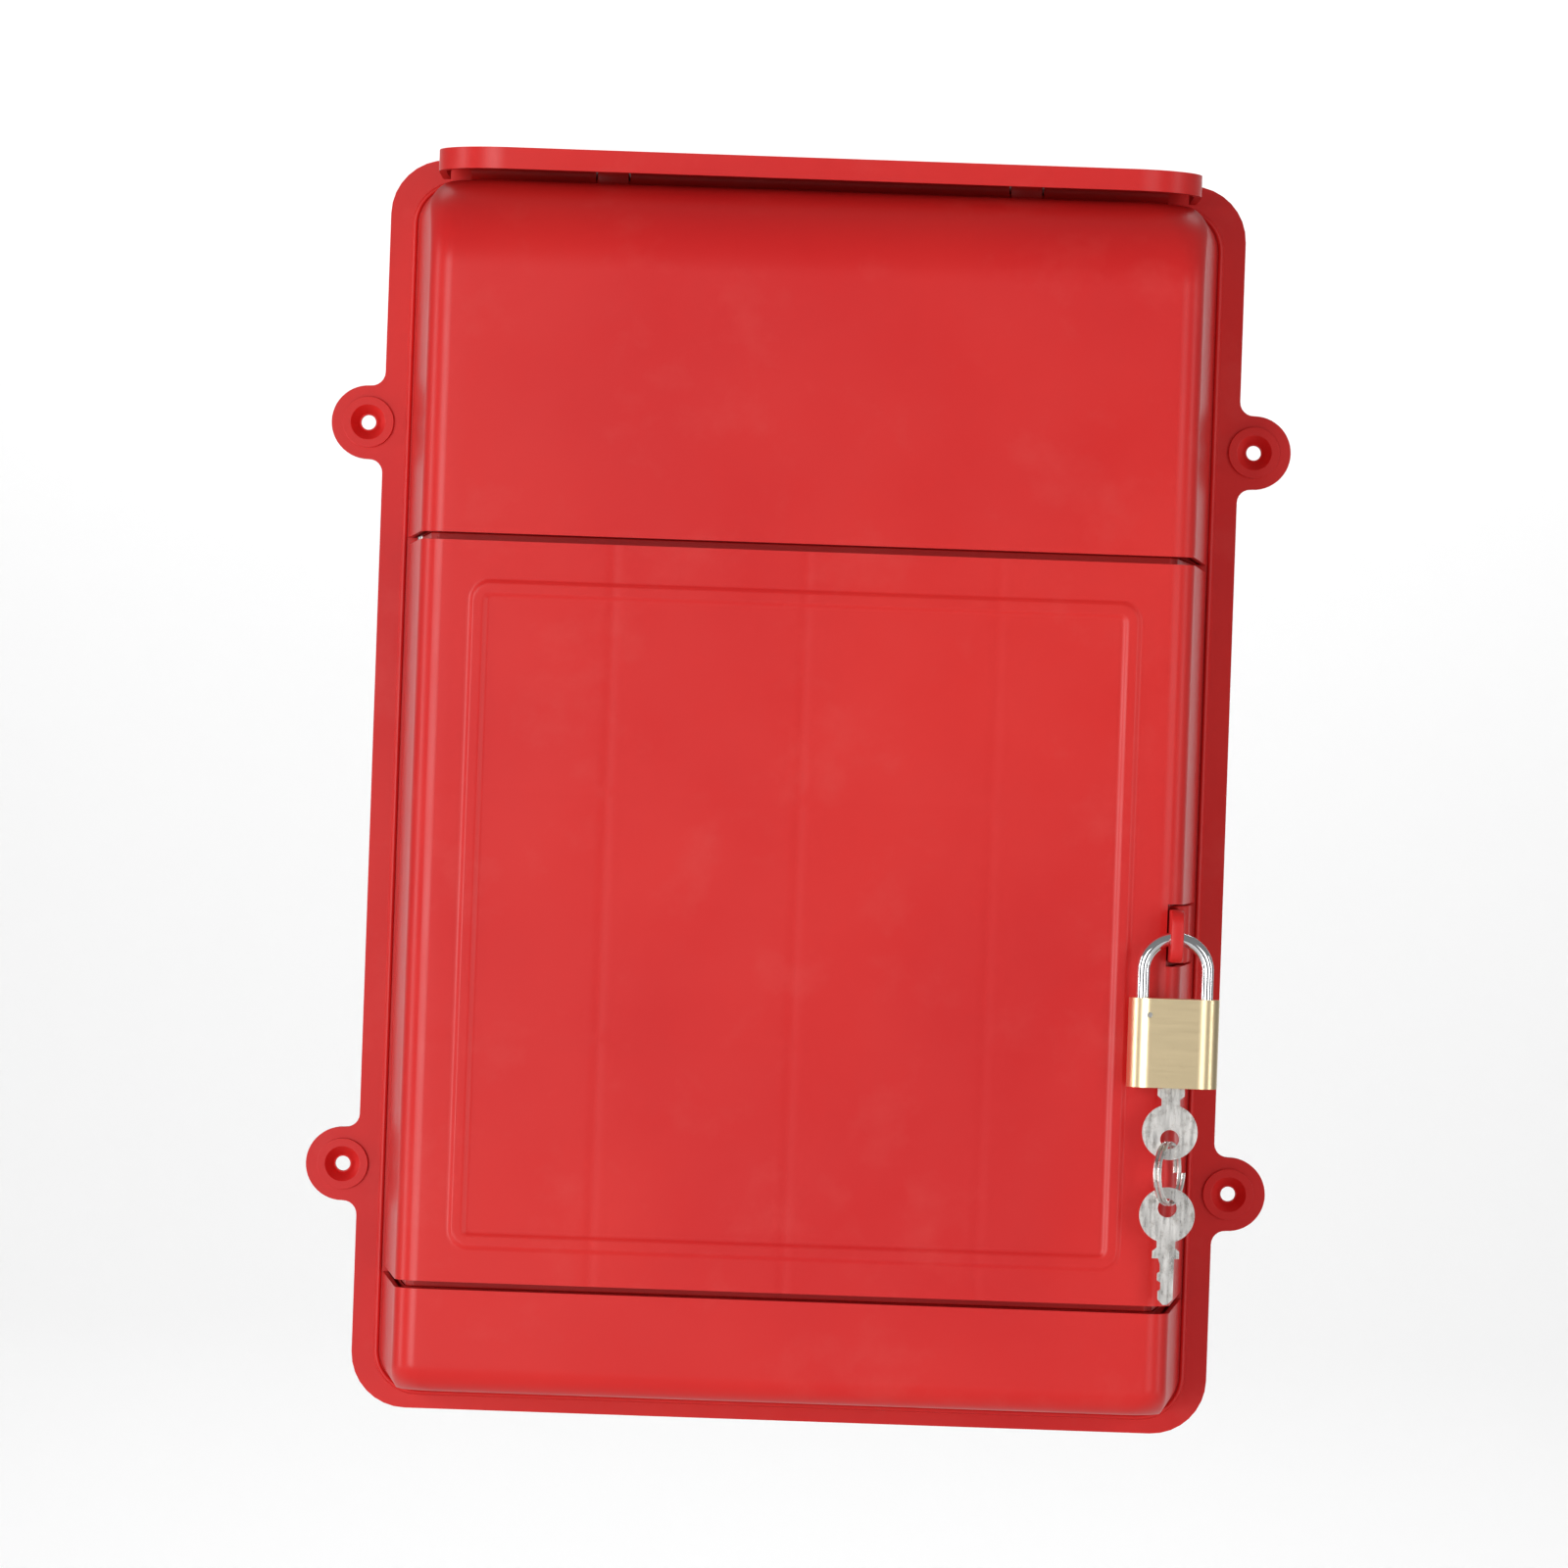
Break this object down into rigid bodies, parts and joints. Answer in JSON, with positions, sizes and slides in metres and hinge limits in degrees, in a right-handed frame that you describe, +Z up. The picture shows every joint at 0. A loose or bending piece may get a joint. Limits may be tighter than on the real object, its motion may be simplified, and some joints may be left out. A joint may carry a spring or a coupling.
{
  "type": "lockable wall drop box",
  "caption": "Wall-mounted moulded plastic drop box with a top letter flap, a side-hinged front door and a small padlock with keys on its hasp staple.",
  "frame": {"origin": "middle of the four wall-screw holes, on the wall plane at the back of the panel", "axes": "+Z up, -Y out of the wall towards the user, +X to the user's right when facing the box"},
  "size_m": [0.2794, 0.0951, 0.3634],
  "materials": {
    "red_plastic": "semi-gloss injection-moulded plastic",
    "steel": "plated steel",
    "brass": "satin brass",
    "chrome": "bright plated steel",
    "nickel": "nickel-plated, lightly worn"
  },
  "bodies": {
    "box": {"back_panel": "red_plastic", "front_shell": "red_plastic", "lid_hinge_pin": "steel", "door_pin_upper": "steel", "door_pin_lower": "steel", "body_screws": "steel"},
    "door": {"door": "red_plastic"},
    "lid": {"top_lid": "red_plastic"},
    "shackle": {"padlock_shackle": "chrome"},
    "case": {"padlock_case": "brass", "shackle_retainer": "steel", "shackle_spring": "steel", "plug_retainer": "brass", "bolt_spring": "steel", "driver_pins": "steel", "pin_springs": "steel", "chamber_plugs": "brass"},
    "bolt": {"lock_bolt": "brass"},
    "plug": {"lock_plug": "brass", "key_pins": "brass", "lock_key": "nickel"},
    "ring": {"key_ring": "nickel"},
    "spare": {"spare_key": "nickel"}
  },
  "joints": [
    {"name": "door_hinge", "type": "hinge", "parent": "box", "child": "door", "pos_m": [-0.11143, -0.015, 0], "axis": [0, 0, -1], "range_deg": [0, 90]},
    {"name": "lid_hinge", "type": "hinge", "parent": "box", "child": "lid", "pos_m": [0, -0.0105, 0.1815], "axis": [-1, 0, 0], "range_deg": [0, 90]},
    {"name": "padlock_swing", "type": "hinge", "parent": "door", "child": "shackle", "pos_m": [0.1073, -0.0865, -0.03277], "axis": [-1, 0, 0], "range_deg": [0, 80]},
    {"name": "case_drop", "type": "slide", "parent": "shackle", "child": "case", "axis": [0, 0, -1], "range_m": [0, 0.0055], "deforming": ["shackle_spring"]},
    {"name": "key_turn", "type": "hinge", "parent": "case", "child": "plug", "pos_m": [0.1073, -0.0865, -0.07457], "axis": [0, 0, -1], "range_deg": [0, 90]},
    {"name": "bolt_slide", "type": "slide", "parent": "case", "child": "bolt", "axis": [-1, 0, 0], "range_m": [0, 0.00181], "deforming": ["bolt_spring"]},
    {"name": "ring_swing", "type": "hinge", "parent": "plug", "child": "ring", "pos_m": [0.1073, -0.0865, -0.09045], "axis": [0, 1, 0], "range_deg": [-10, 15]},
    {"name": "spare_key_swing", "type": "hinge", "parent": "ring", "child": "spare", "pos_m": [0.1073, -0.0865, -0.10745], "axis": [0, 1, 0], "range_deg": [-15, 10]}
  ],
  "couplings": [
    {"joint": "key_turn", "follows": "case_drop", "rad_per_m": 285.6},
    {"joint": "bolt_slide", "follows": "case_drop", "ratio": 0.32727}
  ]
}
